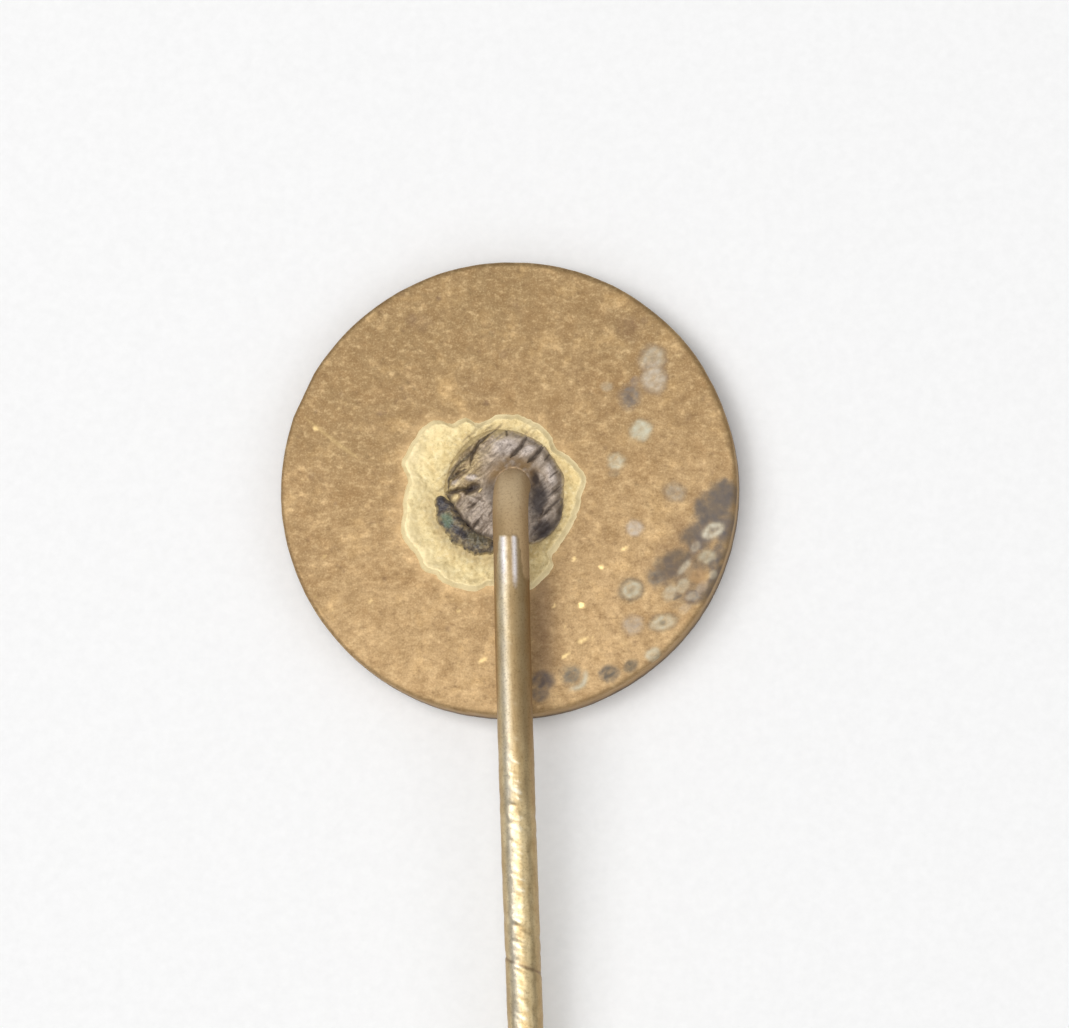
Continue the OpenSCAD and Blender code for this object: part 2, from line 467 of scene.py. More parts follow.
# Glints of bare brass: (x, y, length, width, turn, strength)
GLINTS = (
    (2.08, -3.38, 0.11, 0.09, 20, 1.0), (2.63, -2.3, 0.09, 0.07, 10, 0.7), (3.28, -1.8, 0.13, 0.05, 40, 0.5),
    (1.87, -2.05, 0.08, 0.05, 60, 0.5), (2.1, -4.38, 0.2, 0.07, 20, 0.45), (1.62, -4.8, 0.18, 0.05, 35, 0.5),
    (-5.49, 1.76, 0.11, 0.07, -30, 0.5), (-0.7, -4.9, 0.14, 0.06, 20, 0.5),
    (-3.9, -3.2, 0.09, 0.05, 30, 0.25), (-1.4, -3.5, 0.08, 0.05, 0, 0.3), (-5.2, -1.9, 0.08, 0.04, 40, 0.25),
    (1.3, -3.4, 0.07, 0.04, 50, 0.5),
)


def line_distance(x, y, points):
    """Distance to a polyline, and the share of its length at the nearest point."""
    pts = np.array(points, float)
    seg = np.hypot(*np.diff(pts, axis=0).T)
    start = np.concatenate([[0], np.cumsum(seg)])
    best, where = np.full_like(x, 1e9), np.zeros_like(x)
    for k in range(len(seg)):
        d = (pts[k + 1] - pts[k]) / seg[k]
        t = np.clip((x - pts[k, 0]) * d[0] + (y - pts[k, 1]) * d[1], 0, seg[k])
        dist = np.hypot(x - pts[k, 0] - d[0] * t, y - pts[k, 1] - d[1] * t)
        closer = dist < best
        best = np.where(closer, dist, best)
        where = np.where(closer, (start[k] + t) / start[-1], where)
    return best, where


def stroke(x, y, points, width, taper=0.25):
    """A soft line through the points, 1 on the line and thinned towards both ends."""
    d, s = line_distance(x, y, points)
    return bell(d, width * (0.25 + 0.75 * smooth(0, taper, s) * smooth(0, taper, 1 - s)))


def head_marks(x, y):
    """Masks and relief of the marks on the back of the head."""
    pale, dark, lilac, relief = (np.zeros_like(x) for _ in range(4))
    p = flat_points(x, y)
    ragged = 0.26 * fbm(p, 0.28, 3, 12) + 0.1 * fbm(p, 0.11, 2, 14)
    patchy = 0.82 + 0.6 * fbm(p, 0.13, 3, 13) + 0.5 * diagonal_streaks(p, 35, 0.1, 15, length=3.0)
    for cx, cy, rx, ry, turn, fill, ring, eye, shade, rim, violet in MARKS:
        near = np.hypot(x - cx, y - cy) < 2.4 * rx
        d = blob(x[near], y[near], cx, cy, rx, ry, turn) + ragged[near]
        inside = 1 - smooth(0.65, 1.3, d)
        band = bell(d - 0.66, 0.3)
        edge = bell(d - 1.12, 0.26)
        centre = 1 - smooth(0, 0.6, d)
        paler = (fill * inside + ring * band) * patchy[near]
        darker = np.maximum(np.maximum(eye * centre, shade * inside * patchy[near]), rim * edge)
        lilac[near] = np.where(paler + darker > 0.05, violet, lilac[near])
        pale[near] = np.maximum(pale[near] * (1 - darker), paler)
        dark[near] = np.maximum(dark[near] * (1 - paler), darker)
        relief[near] += 0.014 * ring * band + 0.006 * fill * inside - 0.014 * eye * centre
    cx, cy, r = CRESCENT
    d = np.hypot(x - cx, y - cy) / r + 0.6 * ragged
    side = smooth(0.2, 0.9, ((x - cx) * 0.75 - (y - cy) * 0.65) / r)
    pale = np.maximum(pale, 0.7 * side * bell(d - 0.95, 0.2))
    for points in HAIRLINES:
        dark = np.maximum(dark, 0.8 * stroke(x, y, points, 0.06))
    return np.clip(pale, 0, 1), np.clip(dark, 0, 1), lilac, relief


# The slate stain at the right, down to the lower right: (x, y, long radius, short radius, turn, depth)
STAINS = (
    (6.15, -0.3, 0.5, 0.42, 0, 1.0), (5.85, -0.8, 0.75, 0.55, 60, 0.85), (6.1, -1.2, 0.4, 0.75, -10, 0.85),
    (5.4, -1.5, 0.6, 0.5, 30, 0.75), (4.65, -2.25, 0.75, 0.42, 40, 0.8), (5.9, -2.0, 0.25, 0.6, -20, 0.75),
    (5.85, -2.7, 0.2, 0.6, -28, 1.0), (5.35, -3.1, 0.45, 0.28, 20, 0.6), (4.6, -2.6, 0.5, 0.3, 20, 0.5),
    (5.2, -2.2, 0.6, 0.6, 0, 0.45), (5.0, -2.9, 0.6, 0.5, 30, 0.35),
)

# The zones of the head's skin, from the back round to the front, and the spacing of points in each, mm
BACK, BACK_EDGE, WALL, FRONT_EDGE, FRONT, BORDER = range(6)
ZONE_SPACING = np.array([0.05, 0.05, 0.06, 0.06, 0.09, 0.05])


def head_profile():
    """Radius, height and zone of each ring, from the middle of the back to the middle of the front."""
    border_r, table_r = BORDER_OUTER_R, BORDER_INNER_R
    rounding = ((0.15, 0.0), (0.1, 0.007), (0.06, 0.022), (0.03, 0.045), (0.01, 0.08))
    rows = [(r, BACK_Z, BACK) for r in np.arange(0.6, 2.0, 0.1)]
    rows += [(r, BACK_Z, BACK) for r in np.arange(2.0, HEAD_R - 0.18, 0.05)]
    rows += [(HEAD_R - inset, BACK_Z - drop, BACK_EDGE) for inset, drop in rounding]
    rows += [(HEAD_R, z, WALL) for z in np.arange(BACK_Z - 0.13, 0.1, -0.06)]
    rows += [(HEAD_R - inset, z, FRONT_EDGE) for inset, z in ((0.01, 0.06), (0.03, 0.025), (0.07, 0.004))]
    rows += [(r, 0.0, FRONT) for r in np.arange(HEAD_R - 0.12, border_r, -0.09)]
    rows += [(border_r + out, z, FRONT) for out, z in ((0.02, 0.004), (-0.01, 0.03), (-0.025, 0.15))]
    rows += [(r, BORDER_DEPTH, BORDER) for r in np.arange(border_r - 0.05, table_r + 0.02, -0.045)]
    rows += [(table_r + out, z, FRONT) for out, z in ((0.01, 0.15), (0.0, 0.03), (-0.03, 0.004))]
    rows += [(r, 0.0, FRONT) for r in (4.8, 4.65, 4.4, 4.0, 3.5, 2.9, 2.2, 1.5, 0.8, 0.4)]
    return np.array(rows).T


def stain_masks(x, y, pale):
    """The slate stain, and the rusty patches in it."""
    p = flat_points(x, y)
    warp = 0.45 * fbm(p, 0.8, 4, 8) + 0.3 * fbm(p, 0.22, 3, 7)
    stain = np.zeros_like(x)
    for *place, deep in STAINS:
        stain = np.maximum(stain, deep * patch(x, y, place, warp, 0.45, 1.25))
    stain *= 0.85 + 0.7 * fbm(p, 0.25, 3, 9)
    rust = patch(x, y, (5.4, -2.6, 0.3, 0.24, 10), warp)
    rust = np.maximum(rust, 0.5 * patch(x, y, (5.15, -3.75, 0.3, 0.15, 30), warp))
    return np.clip(stain * (1 - 0.85 * pale), 0, 1), rust


def smudge_mask(x, y):
    """Brown smudges and pits."""
    smudges = np.zeros_like(x)
    for k, (cx, cy, r, deep) in enumerate(SMUDGES):
        d = np.hypot(x - cx, y - cy) / r + 0.5 * fbm(flat_points(x, y) + k, r * 0.8, 2, 24)
        smudges = np.maximum(smudges, deep * (1 - smooth(0.2, 1.3, d)))
    return smudges


def gold_mask(x, y):
    """Bare brass: glints, a fine glitter and one long scratch."""
    p = flat_points(x, y)
    ragged = 0.5 * fbm(p, 0.12, 2, 26)
    gold = 0.3 * smooth(0.52, 0.75, fbm(p, 0.15, 2, 27)) * smooth(0, 0.5, fbm(p, 2.0, 2, 28))
    for *place, bright in GLINTS:
        gold = np.maximum(gold, bright * patch(x, y, place, ragged, 0.5))
    return np.maximum(gold, 0.16 * stroke(x, y, ((-5.8, 2.1), (-4.9, 1.35), (-4.2, 0.85)), 0.06))


def build_head():
    ring_r, ring_z, ring_zone = head_profile()
    spacing = ZONE_SPACING[ring_zone.astype(int)]
    spacing = np.where((ring_zone == FRONT) & (ring_r < 4.7), 0.2, spacing)
    spacing = np.where((ring_zone == BACK) & (ring_r < 2), 0.1, spacing)
    angle, index, tris = rings(ring_counts(ring_r, spacing, least=16))
    r, z, zone = ring_r[index], ring_z[index], ring_zone[index]
    # the whole mesh follows the outline near its edge
    r = r + (head_radius(angle) - HEAD_R) * smooth(HEAD_R - 0.8, HEAD_R, r)
    x, y = r * np.cos(angle), r * np.sin(angle)
    p = flat_points(x, y)
    back, wall = zone <= BACK_EDGE, zone == WALL

    pale, dark, lilac, relief = head_marks(x, y)
    stain, rust = stain_masks(x, y, pale)
    # small brown specks, soft brown clouds, and the wire's painted shadow, a brown band on the back to the
    # right of the wire
    speckle = fbm(p, 0.2, 2, 21)
    specks = smooth(0.42, 0.66, speckle) * smooth(-0.2, 0.4, fbm(p, 1.6, 2, 22))
    cloud = smooth(0, 0.7, fbm(p, 1.3, 3, 23))
    painted_wire_shadow = 0.6 * stroke(x, y, ((0.85, -2.2), (0.95, -3.2), (1.0, -4.4), (1.0, -5.6)), 0.34, 0.15)
    browns = np.maximum(smudge_mask(x, y), painted_wire_shadow)
    gold = gold_mask(x, y)
    # the warm bare rim of brass just outside the left edge of the pool
    beyond = beyond_loop(x, y, POOL_EDGE, POOL_CENTRE)
    halo = bell(beyond, 0.2) * (0.35 + 0.65 * smooth(-0.3, 0.7, -x / 3.0 - y / 6.0))
    halo *= 0.7 + 0.6 * fbm(p, 0.3, 2, 30)
    # painted light: the back is painted lighter towards the lower left and darker towards the upper right
    light = smooth(-1, 1, (x * 0.3 - y * 0.95) / HEAD_R + 0.35 * fbm(p, 2.5, 2, 29))
    # the rounded edge is darker all round, and painted darker still at the lower right as shade on the side
    # away from the key lamp
    lower_right = smooth(-0.3, 0.6, np.cos(angle + math.radians(30)))
    rim = smooth(HEAD_R - 0.28, HEAD_R - 0.04, r) * (0.3 + 0.7 * lower_right)
    rim *= 0.75 + 0.6 * fbm(p, 0.3, 3, 34)
    umber = 1 - smooth(4.5, 5.7, x + 0.5 * fbm(p, 0.5, 3, 35) + 0.25 * (y + 2))

    hammer = 0.006 * fbm(p, 1.8, 2, 31) + 0.007 * fbm(p, 0.45, 3, 32)
    grain = 0.0035 * fbm(p, 0.16, 2, 33)
    pits = -0.014 * smooth(0.46, 0.62, speckle) - 0.012 * np.maximum(browns - painted_wire_shadow, 0)
    lift = np.where(back, hammer + grain + pits + relief + 0.006 * stain, 0)
    lift *= 1 - smooth(HEAD_R - 0.2, HEAD_R - 0.08, r)
    edge = np.stack([HEAD_R * np.cos(angle), HEAD_R * np.sin(angle), z * 2], 1)
    worn = fbm(edge, 0.5, 3, 41)
    wear = -0.012 * smooth(0.1, 0.6, worn) + 0.008 * smooth(0, 0.6, -worn)
    lift += np.where(zone == BACK_EDGE, wear, 0)
    # file marks round the side wall
    filed = np.where(wall, 0.006 * fbm(edge * [1, 1, 3.0], 0.25, 3, 42), 0)
    x += np.cos(angle) * filed
    y += np.sin(angle) * filed
    # beads in the border of the front
    middle = (BORDER_OUTER_R + BORDER_INNER_R) / 2
    turn = (angle * BEAD_COUNT / TAU + 0.5) % 1 - 0.5
    off = np.hypot(turn * TAU / BEAD_COUNT * middle, np.hypot(x, y) - middle)
    dome = np.sqrt(np.clip(1 - (off / BEAD_R) ** 2, 0, 1))
    z = np.where(zone == BORDER, BORDER_DEPTH - BEAD_H * dome, z) + lift

    points = np.concatenate([np.stack([x, y, z], 1), [(0, 0, BACK_Z), (0, 0, 0)]])
    # the brown mask also carries the wire's painted shadow
    brown = np.clip(specks * 0.45 + browns + 0.12 * cloud, 0, 1)
    on_back = {"pale": pale, "stain": stain, "rust": rust, "brown": brown, "gold": gold, "halo": halo}
    masks = {key: np.where(back, values, 0) for key, values in on_back.items()}
    masks["dark"] = np.where(zone <= WALL, np.maximum(dark, stain), 0)
    masks["rim"] = np.where(zone <= WALL, rim, 0)
    masks["side"] = np.where(wall, 1.0, np.where(zone == FRONT_EDGE, 0.5, 0))
    # painted shade: the side wall darkens towards its foot, and the front edge too, where the head sits on
    # the paper
    masks["foot"] = np.where(wall, smooth(0.75, 0.15, z + 0.3 * worn), np.where(zone == FRONT_EDGE, 0.6, 0))
    masks.update(lilac=lilac, light=light, umber=umber)
    return points, tris, masks


def head_material():
    n = Nodes("aged_brass")
    grain = n.noise(0.055, 2, 0.6, 1)
    fine = n.noise(0.13, 3, 0.6, 6, stretch=(1.5, 1, 1))
    mid = n.noise(0.38, 4, 0.6, 2)
    wide = n.noise(2.2, 3, 0.55, 3)
    # painted light: the base tone follows the painted lighting of the back
    light = n.math("ADD", n.mask("light", 0.7), n.math("MULTIPLY", wide, 0.3))
    n.colour = n.ramp(light, (0.1, (150, 123, 83)), (0.45, (167, 137, 95)), (0.85, (194, 162, 117)))
    blotch = n.noise(0.8, 3, 0.6, 4)
    n.mottle(blotch, 0.48, 0.75, 0.5, (160, 124, 78))
    n.mottle(blotch, 0.46, 0.25, 0.4, (218, 180, 122))
    n.mottle(mid, 0.45, 0.8, 0.55, (156, 122, 78))
    n.mottle(mid, 0.42, 0.22, 0.5, (220, 186, 134))
    n.mottle(fine, 0.46, 0.2, 0.65, (124, 94, 58))
    n.mottle(fine, 0.54, 0.78, 0.5, (230, 200, 150))
    n.mottle(grain, 0.5, 0.2, 0.4, (120, 92, 58))
    n.mottle(grain, 0.55, 0.8, 0.32, (238, 210, 162))
    n.coat("halo", 0.4, (240, 204, 150))
    # brown specks and smudges, and the wire's painted shadow
    n.coat("brown", 0.75, (112, 84, 64))
    slate = n.mix(n.remap(mid, 0.35, 0.65), (80, 74, 76), (116, 102, 90))
    slate = n.mix(n.mask("umber", 0.8), slate, (104, 84, 64))
    bloom = n.mix(n.mask("lilac"), (208, 206, 182), (208, 196, 180))
    soot = n.mix(n.mask("lilac"), (98, 88, 70), (102, 88, 84))
    n.coat("dark", 1, soot)
    n.coat("stain", 0.9, slate)
    n.coat("rust", 0.6, (178, 140, 92))
    n.coat("pale", 0.95, bloom)
    n.coat("gold", 1, (255, 226, 158))
    # the rim mask: a darker rounded edge, with painted shade at the lower right
    n.coat("rim", 0.42, (128, 102, 62))
    n.coat("side", 0.9, (172, 136, 82))
    # painted shade at the foot of the side wall
    n.coat("foot", 0.85, (84, 64, 42))
    deposit = n.math("MAXIMUM", n.mask("pale"), n.mask("dark"))
    metal = n.math("SUBTRACT", 0.55, n.math("MULTIPLY", deposit, 0.5), clamp=True)
    rough = n.math("SUBTRACT", n.remap(mid, 0.3, 0.7, 0.5, 0.62), n.mask("gold", 0.22))
    n.bump(fine, 0.5, 0.014)
    n.bump(grain, 0.4, 0.006)
    return n.surface(rough, metal)


# ---- solder pool

def build_pool():
    shares = np.concatenate([np.linspace(0.12, 0.88, 66), np.linspace(0.895, 1.0, 14)])
    counts = ring_counts(2.6 * shares, 0.032)
    angle, index, tris = rings([*counts, counts[-1]])
    share = np.append(shares, 1.0)[index]
    outer = loop_radius(POOL_EDGE, POOL_CENTRE, angle)
    rim = flat_points(outer * np.cos(angle), outer * np.sin(angle))
    outer = outer - 0.01 + 0.045 * fbm(rim, 0.32, 3, 51) + 0.02 * fbm(rim, 0.12, 2, 57)
    # the last ring runs out under the back of the head, so that the edge has no wall
    last = index == len(counts)
    r = np.where(last, outer + 0.035, outer * share)
    x, y = POOL_CENTRE[0] + r * np.cos(angle), POOL_CENTRE[1] + r * np.sin(angle)
    p = flat_points(x, y)
    inward = outer * (1 - share)
    beyond = beyond_loop(x, y, FILLET_EDGE, FILLET_AT)
    # a thick rolled edge on the left, thin and sharp on the right
    west = smooth(0, 1.0, -np.cos(angle - math.radians(8)))
    roll = (0.02 + 0.03 * west) * (1 + 0.5 * fbm(rim, 0.45, 2, 52))
    body = 0.075 + 0.02 * fbm(p, 0.8, 2, 53) + 0.018 * fbm(p, 0.3, 3, 54)
    body += 0.006 * fbm(p, 0.1, 2, 58)
    body += roll * bell(np.maximum(inward - 0.16, 0), 0.14 + 0.12 * west)
    body -= 0.045 * smooth(0.02, -0.15, beyond)
    rolled = np.sqrt(np.clip(1 - (1 - np.minimum(inward / (0.1 + 0.09 * west), 1)) ** 2, 0, 1))
    skirt = 0.6 * west * rolled + (1 - 0.6 * west) * smooth(-0.01, 0.15, inward)
    # dull scores that run up to the right, and dirt that is thickest beside the fillet
    scores = diagonal_streaks(p, 40, 0.13, 56)
    upper_left = smooth(-0.2, 0.6, (y - x * 0.6) * 0.5 - 0.2)
    soiled = fbm(p, 0.22, 3, 55)
    dirty = 0.8 * np.exp(-np.clip(beyond, 0, None) / 0.12) * (0.6 + 0.6 * soiled)
    fringe = np.exp(-np.clip(beyond - 0.06, 0, None) / 0.18) * upper_left
    dirty = np.maximum(dirty, smooth(-0.15, 0.3, scores) * fringe)
    ashy = bell(np.hypot(x - FILLET_AT[0], y - FILLET_AT[1]) - 2.05, 0.27)
    ashy *= smooth(0.6, -0.6, y) * smooth(0.6, 0.1, x)
    dirty = np.maximum(dirty, 0.55 * ashy * (0.8 + 0.6 * soiled))
    # duller patches of solder, and painted shade over the right part of the pool
    dull = smooth(0, 0.7, fbm(p, 0.5, 3, 59)) + 0.8 * smooth(1.0, 1.7, x)
    # painted highlight: the rolled edge is painted near-white, most of all on the left where it faces the key
    # lamp, with a thin pale line all round
    edge = bell(np.maximum(inward - 0.08, 0), 0.24 + 0.24 * west) * (0.1 + 0.9 * west)
    edge *= np.clip(0.65 + 0.9 * fbm(rim, 0.8, 3, 52), 0.3, 1)
    thin_rim = bell(np.maximum(inward - 0.06, 0), 0.09) * (0.9 + 0.5 * fbm(rim, 0.5, 2, 52))
    edge = np.maximum(edge, thin_rim)
    under = BACK_Z - 0.02
    z = BACK_Z + 0.002 + body * skirt - 0.012 * smooth(0.2, 0.7, scores) * upper_left * skirt
    z = np.where(last, under, z)
    points = np.concatenate([np.stack([x, y, z], 1), [(*POOL_CENTRE, POOL_Z), (*POOL_CENTRE, under)]])
    return points, tris, clipped({"edge": edge, "dirty": dirty, "dull": dull})


def pool_material():
    n = Nodes("bright_solder")
    grain = n.noise(0.05, 2, 0.6, 11)
    fine = n.noise(0.12, 3, 0.6, 14)
    mid = n.noise(0.34, 3, 0.55, 12)
    n.colour = n.ramp(mid, (0.3, (200, 176, 122)), (0.5, (222, 200, 144)), (0.72, (238, 220, 168)))
    # duller patches, and painted shade on the right of the pool
    n.coat("dull", 0.6, (198, 172, 112))
    n.mottle(fine, 0.47, 0.25, 0.75, (164, 138, 82))
    n.mottle(fine, 0.55, 0.8, 0.5, (255, 244, 206))
    n.mottle(grain, 0.48, 0.2, 0.5, (160, 136, 84))
    # painted highlight on the rolled edge
    n.coat("edge", 0.92, (255, 235, 184))
    n.coat("dirty", 0.9, (112, 90, 58))
    rough = n.math("SUBTRACT", n.remap(mid, 0.3, 0.7, 0.4, 0.55), n.mask("edge", 0.15))
    metal = n.math("SUBTRACT", 0.35, n.mask("edge", 0.38), clamp=True)
    n.bump(fine, 0.5, 0.016)
    n.bump(grain, 0.35, 0.006)
    return n.surface(rough, metal)


# ---- solder fillet

# Outline of the fillet's foot, which gives way to the flux on the lower left
FILLET_EDGE = (
    (1.6, -0.1), (1.6, 0.3), (1.4, 0.65), (1.2, 0.95), (1.0, 1.2), (0.6, 1.45), (0.2, 1.6), (-0.4, 1.65),
    (-0.85, 1.5), (-1.25, 1.2), (-1.55, 0.8), (-1.72, 0.4), (-1.8, 0.0), (-1.75, -0.35), (-1.6, -0.65),
    (-1.45, -0.95), (-1.1, -1.3), (-0.6, -1.5), (0.3, -1.65), (0.8, -1.62), (1.22, -1.38), (1.48, -1.05),
    (1.58, -0.7), (1.6, -0.4),
)
# Cracks: (points, half width, depth)
CRACKS = (
    (((0.55, 1.45), (0.4, 1.15), (0.1, 0.8)), 0.05, 0.1),
    (((1.05, 1.2), (0.87, 0.95), (0.6, 0.65)), 0.065, 0.12),
    (((-0.35, 1.62), (-0.8, 1.28), (-0.97, 1.0), (-1.2, 0.82), (-1.48, 0.56), (-1.65, 0.27), (-1.7, -0.1)),
     0.06, 0.05),
    (((-0.5, 1.5), (-0.85, 1.24), (-0.97, 0.95), (-1.05, 0.6)), 0.05, 0.05),
    (((-0.05, 1.65), (-0.02, 1.45)), 0.04, 0.06),
    (((-1.78, -0.15), (-1.4, -0.1), (-1.0, -0.05)), 0.055, 0.12),
    (((1.55, -0.35), (1.5, -0.75), (1.36, -1.1), (1.08, -1.35), (0.75, -1.55)), 0.1, 0.04),
    (((-1.15, -0.62), (-0.85, -0.5)), 0.03, 0.04),
    (((-0.98, -1.18), (-0.77, -0.95)), 0.04, 0.06),
    (((-1.66, 0.2), (-1.3, 0.45)), 0.045, 0.05),
    (((-1.5, 0.35), (-1.15, 0.5)), 0.03, 0.04),
    (((1.25, 1.0), (1.05, 0.72)), 0.035, 0.05),
    (((-1.75, -0.2), (-1.62, -0.5), (-1.4, -0.75), (-1.25, -1.05), (-0.95, -1.3), (-0.6, -1.45)), 0.06, 0.08),
    (((1.45, 0.45), (1.2, 0.2)), 0.03, 0.03),
    (((1.5, 0.0), (1.1, -0.35)), 0.03, 0.04),
    (((1.5, -0.35), (1.0, -0.85)), 0.035, 0.04),
)
# Hollows, sunk into the skin and painted dark as shade; the long one right of the wire is the wire's painted
# shadow: (x, y, long radius, short radius, turn, depth)
HOLLOWS = (
    (-1.0, -0.06, 0.29, 0.16, 12, 0.16), (0.9, -0.4, 0.33, 0.68, -6, 0.08),
    (0.98, -1.22, 0.4, 0.34, 30, 0.02), (0.82, 0.18, 0.15, 0.3, 5, 0.03), (-1.75, -0.35, 0.16, 0.2, 0, 0.05),
    (-1.2, -1.05, 0.25, 0.12, -40, 0.06),
)
# Pale skins on the humps: (x, y, long radius, short radius, turn, height)
HUMPS = (
    (-0.05, 1.1, 0.42, 0.3, 0, 0.03), (0.6, 1.02, 0.3, 0.15, 42, 0.04), (1.27, 0.3, 0.17, 0.45, 8, 0.05),
    (1.15, -0.3, 0.3, 0.12, 45, 0.04), (-1.0, 0.25, 0.24, 0.12, -12, 0.06),
    (-0.85, -0.45, 0.36, 0.13, -27, 0.08), (-0.85, -0.85, 0.32, 0.35, 0, 0.07),
    (1.05, -0.95, 0.25, 0.14, 45, 0.04), (-1.45, 0.13, 0.17, 0.09, 25, 0.03),
)


def build_fillet():
    shares = np.linspace(0.03, 1.0, 84)
    counts = ring_counts(FILLET_R * shares, 0.022)
    angle, index, tris = rings([*counts, counts[-1]])
    share = np.append(shares, 1.0)[index]
    rim = flat_points(np.cos(angle), np.sin(angle)) * FILLET_R
    r = (loop_radius(FILLET_EDGE, FILLET_AT, angle) + 0.03 * fbm(rim, 0.3, 3, 61)) * share
    x, y = FILLET_AT[0] + r * np.cos(angle), FILLET_AT[1] + r * np.sin(angle)
    p = flat_points(x, y)
    from_post = np.hypot(x - FOOT[0], y - FOOT[1])
    z = 0.1 + 0.15 * (1 - share**2) + 0.4 * np.exp(-np.clip(from_post - WIRE_R, 0, None) / 0.28)
    # pleats that run up to the right, and a rougher, browner skin on the upper left
    brown = smooth(-0.35, 0.75, -(x + 0.55) + 0.25 * y + 0.3 * fbm(p, 0.5, 2, 60))
    brown *= 0.2 + 0.8 * smooth(-0.4, 0.0, y)
    pleat = diagonal_streaks(p, 50, 0.16, 62)
    rough = diagonal_streaks(p, 42, 0.09, 63)
    z += (0.045 * pleat + 0.02 * rough) * smooth(0.5, 0.9, from_post)
    z += 0.04 * fbm(p, 0.3, 3, 64) + (0.012 + 0.03 * brown) * fbm(p, 0.12, 3, 65)
    # where the skin runs out into the bright solder, over a long ragged slope on the upper left
    upper_left = smooth(0.25, 0.8, np.cos(angle - math.radians(138)))
    thin = share + 0.06 * fbm(p, 0.16, 3, 84)
    melt = np.maximum(0.75 * smooth(0.93, 1.0, thin), upper_left * smooth(0.8, 1.0, thin + 0.16 * rough))
    ragged = 0.35 * fbm(p, 0.2, 3, 66)
    crack, hollow, pale = (np.zeros_like(x) for _ in range(3))
    for *place, high in HUMPS:
        on = patch(x, y, place, ragged, 0.35, 1.25)
        z += high * on
        pale = np.maximum(pale, on)
    for *place, deep in HOLLOWS:
        on = patch(x, y, place, ragged, 0.3)
        z -= deep * on
        hollow = np.maximum(hollow, on)
    # a moat round the foot of the bend, painted dark as shade at the front, and brown where the solder climbs
    # it at the back
    moat = bell(np.maximum(from_post - 0.64, 0), 0.2)
    moat *= smooth(-0.2, 0.5, 0.45 + fbm(p, 0.3, 2, 83))
    hollow = np.maximum(hollow, 0.6 * moat * smooth(0.4, -0.1, y))
    waver = np.stack([x + 0.03 * fbm(p, 0.2, 2, 67), y + 0.03 * fbm(p, 0.2, 2, 68)])
    for points, width, deep in CRACKS:
        on = stroke(*waver, points, width)
        z -= deep * on
        crack = np.maximum(crack, on)
    border = bell(share - 0.925, 0.045) * (0.55 + 0.5 * fbm(rim, 0.4, 2, 69))
    z -= 0.04 * border
    crack = np.maximum(crack, 0.7 * border * (1 - 0.75 * upper_left))
    z *= np.sqrt(np.clip(1 - np.maximum(share - 0.9, 0) / 0.1 * 0.95, 0, 1))
    z -= 0.03 * smooth(0.88, 1.0, share)
    # the cream nugget and the yellow fleck beside the dark hole
    nugget = patch(x, y, (-1.46, -0.32, 0.17, 0.11, 40), ragged, 0.5, 1.15)
    fleck = patch(x, y, (-0.75, -0.13, 0.09, 0.04, 50), 0, 0.5)
    z += 0.07 * nugget + 0.04 * fleck
    # the last ring goes down into the pool, and the middle of the top is hidden inside the wire
    under = BACK_Z + 0.02
    z = np.where(index == len(counts), under, POOL_Z - 0.065 + z)
    ends = [(*FILLET_AT, POOL_Z + 0.5), (*FILLET_AT, under)]
    # darker in the pleats, at the lower left and at the right, and washed with cream on the rough skin
    shade = -pleat * 0.8 - 0.6 * rough + 0.4 * fbm(p, 0.3, 3, 82) + 0.25 * smooth(0.85, 1.0, share)
    shade = smooth(-0.1, 0.5, shade) * (0.75 + 0.25 * smooth(1.2, 0.4, y))
    shade += 0.5 * smooth(-0.2, -0.7, y) * smooth(0.2, -0.4, x)
    shade += 0.35 * smooth(0.7, 1.2, x) * smooth(0.3, -0.5, y)
    wash = smooth(0.05, 0.6, rough + 0.2) * brown * smooth(0.8, 1.3, from_post)
    masks = {
        "crack": crack,
        "brown": brown,
        "shade": shade,
        "pale": pale * (1 - hollow) * (0.35 + 0.65 * smooth(-0.5, 0.1, y)),
        "hollow": hollow,
        "cream": np.maximum(nugget, 0.7 * wash),
        "fleck": np.maximum(fleck, 0.85 * nugget),
        "melt": melt,
        "ring": moat * smooth(-0.2, 0.3, y),
    }
    points = np.concatenate([np.stack([x, y, z], 1), ends])
    return points, tris, clipped(masks)


def fillet_material():
    n = Nodes("oxidised_solder")
    grain = n.noise(0.045, 2, 0.6, 21)
    fine = n.noise(0.1, 3, 0.6, 24)
    mid = n.noise(0.25, 3, 0.55, 22)
    n.colour = n.mix(n.mask("brown"), (204, 187, 170), (160, 136, 98))
    n.coat("pale", 0.8, (222, 208, 198))
    n.coat("shade", 0.65, (104, 84, 66))
    n.mottle(mid, 0.45, 0.75, 0.5, (98, 82, 68))
    n.mottle(fine, 0.45, 0.25, 0.5, (84, 70, 58))
    n.mottle(fine, 0.55, 0.78, 0.4, (200, 186, 166))
    n.mottle(grain, 0.5, 0.25, 0.4, (90, 76, 62))
    n.coat("cream", 0.85, (222, 198, 150))
    n.coat("melt", 0.8, (208, 184, 130))
    n.coat("ring", 0.85, (158, 126, 82))
    n.coat("crack", 0.85, (66, 54, 44))
    # painted shade in the hollows and the moat, and the wire's painted shadow
    n.coat("hollow", 0.86, (58, 50, 52))
    n.coat("fleck", 1, (226, 202, 152))
    rough = n.remap(fine, 0.3, 0.7, 0.42, 0.6)
    n.bump(fine, 0.5, 0.014)
    n.bump(grain, 0.35, 0.006)
    return n.surface(rough, 0.3)


# ---- flux crust


